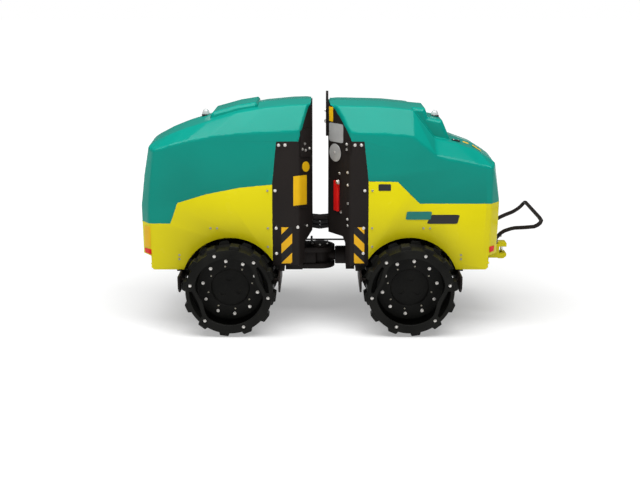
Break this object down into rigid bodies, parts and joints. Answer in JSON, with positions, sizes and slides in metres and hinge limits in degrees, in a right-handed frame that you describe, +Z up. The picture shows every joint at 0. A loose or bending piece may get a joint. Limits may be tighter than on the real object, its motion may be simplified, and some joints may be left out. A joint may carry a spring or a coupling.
{
  "type": "trench roller",
  "caption": "Articulated padfoot trench roller in two hooded halves on twin drums, with a tow jaw, lifting plate and rear handle bow.",
  "frame": {"origin": "on the floor, at the middle of the whole machine's box", "axes": "+X from the front half to the rear half, +Y to the machine's right side, +Z up"},
  "size_m": [2.2183, 0.85, 1.302],
  "materials": {
    "teal_paint": "glossy teal paint",
    "yellow_paint": "glossy greenish yellow paint",
    "black_paint": "satin black powder coat",
    "drum_paint": "black paint on heavy steel",
    "bright_steel": "ground piston rod",
    "red_paint": "red paint",
    "lamp_lens": "clear dome over a pale base",
    "casting": "dark cast metal"
  },
  "bodies": {
    "front": {"front_frame": "black_paint", "front_side_panel_left": "yellow_paint", "front_cheek_left": "black_paint", "front_side_panel_right": "yellow_paint", "front_cheek_right": "black_paint", "front_end_panel": "yellow_paint", "front_bulkhead": "black_paint", "front_drum_carrier": "black_paint", "front_scraper_outer": "black_paint", "front_scraper_inner": "black_paint", "engine_block": "casting"},
    "knuckle": {"joint_knuckle": "black_paint"},
    "rear": {"rear_frame": "black_paint", "rear_side_panel_left": "yellow_paint", "rear_cheek_left": "black_paint", "rear_side_panel_right": "yellow_paint", "rear_cheek_right": "black_paint", "rear_end_panel": "yellow_paint", "rear_bulkhead": "black_paint", "rear_drum_carrier": "black_paint", "rear_scraper_outer": "black_paint", "rear_scraper_inner": "black_paint", "tank_block": "casting", "tow_hitch": "yellow_paint", "handle_bow": "black_paint", "lifting_plate": "black_paint", "lock_bar": "red_paint"},
    "front_hood": {"front_hood": "teal_paint", "front_lamp": "lamp_lens"},
    "rear_hood": {"rear_hood": "teal_paint", "rear_lamp": "lamp_lens"},
    "front_drum": {"front_drum_left": "drum_paint", "front_drum_ring_left": "drum_paint", "front_hub_left": "drum_paint", "front_drum_right": "drum_paint", "front_drum_ring_right": "drum_paint", "front_hub_right": "drum_paint"},
    "rear_drum": {"rear_drum_left": "drum_paint", "rear_drum_ring_left": "drum_paint", "rear_hub_left": "drum_paint", "rear_drum_right": "drum_paint", "rear_drum_ring_right": "drum_paint", "rear_hub_right": "drum_paint"},
    "steering_barrel": {"steering_cylinder": "black_paint"},
    "steering_rod": {"steering_rod": "bright_steel"}
  },
  "joints": [
    {"name": "steer", "type": "hinge", "parent": "front", "child": "knuckle", "pos_m": [-0.125, 0, 0.355], "axis": [0, 0, 1], "range_deg": [-30, 30]},
    {"name": "oscillate", "type": "hinge", "parent": "knuckle", "child": "rear", "pos_m": [-0.125, 0, 0.355], "axis": [1, 0, 0], "range_deg": [-6, 6]},
    {"name": "front_drum_spin", "type": "hinge", "parent": "front", "child": "front_drum", "pos_m": [-0.62, 0, 0.26], "axis": [0, 1, 0], "continuous": true},
    {"name": "rear_drum_spin", "type": "hinge", "parent": "rear", "child": "rear_drum", "pos_m": [0.37, 0, 0.26], "axis": [0, 1, 0], "continuous": true},
    {"name": "front_hood_lift", "type": "hinge", "parent": "front", "child": "front_hood", "pos_m": [-0.175, 0, 1.259], "axis": [0, 1, 0], "range_deg": [0, 55]},
    {"name": "rear_hood_lift", "type": "hinge", "parent": "rear", "child": "rear_hood", "pos_m": [-0.075, 0, 1.251], "axis": [0, -1, 0], "range_deg": [0, 55]},
    {"name": "barrel_swing", "type": "hinge", "parent": "rear", "child": "steering_barrel", "pos_m": [0.235, -0.08, 0.6], "axis": [0, 0, 1], "range_deg": [-6, 6]},
    {"name": "rod_slide", "type": "slide", "parent": "steering_barrel", "child": "steering_rod", "axis": [-1, 0, 0], "range_m": [-0.048, 0.048]}
  ],
  "couplings": [
    {"joint": "barrel_swing", "follows": "steer", "ratio": -0.154},
    {"joint": "rod_slide", "follows": "steer", "m_per_rad": 0.0786}
  ]
}
